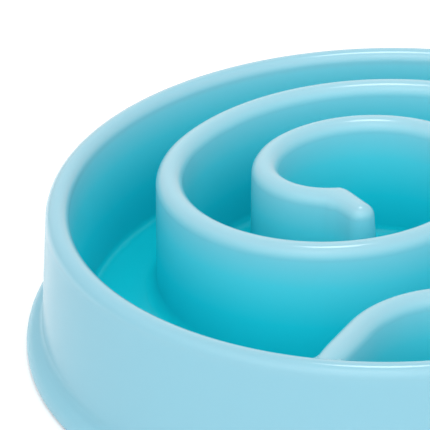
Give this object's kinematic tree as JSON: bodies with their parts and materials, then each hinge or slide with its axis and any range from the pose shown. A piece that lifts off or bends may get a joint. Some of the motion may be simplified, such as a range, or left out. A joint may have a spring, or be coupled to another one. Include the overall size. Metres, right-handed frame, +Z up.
{
  "type": "slow feeder bowl",
  "caption": "Round plastic pet bowl with a tall hollow spiral ridge on its floor, a flared foot and push-in rubber feet.",
  "frame": {"origin": "on the ground under the middle of the bowl", "axes": "+Z up, -Y towards the viewer of the picture, where the ridge joins the wall, +X to the viewer's right"},
  "size_m": [0.298, 0.298, 0.0635],
  "materials": {
    "bowl": "satin gloss, light aqua",
    "feet": "matt grey rubber"
  },
  "bodies": {
    "root": {"bowl_shell": "bowl", "foot_right": "feet", "foot_back_right": "feet", "foot_back_left": "feet", "foot_left": "feet", "foot_front_left": "feet", "foot_front_right": "feet"}
  },
  "joints": []
}
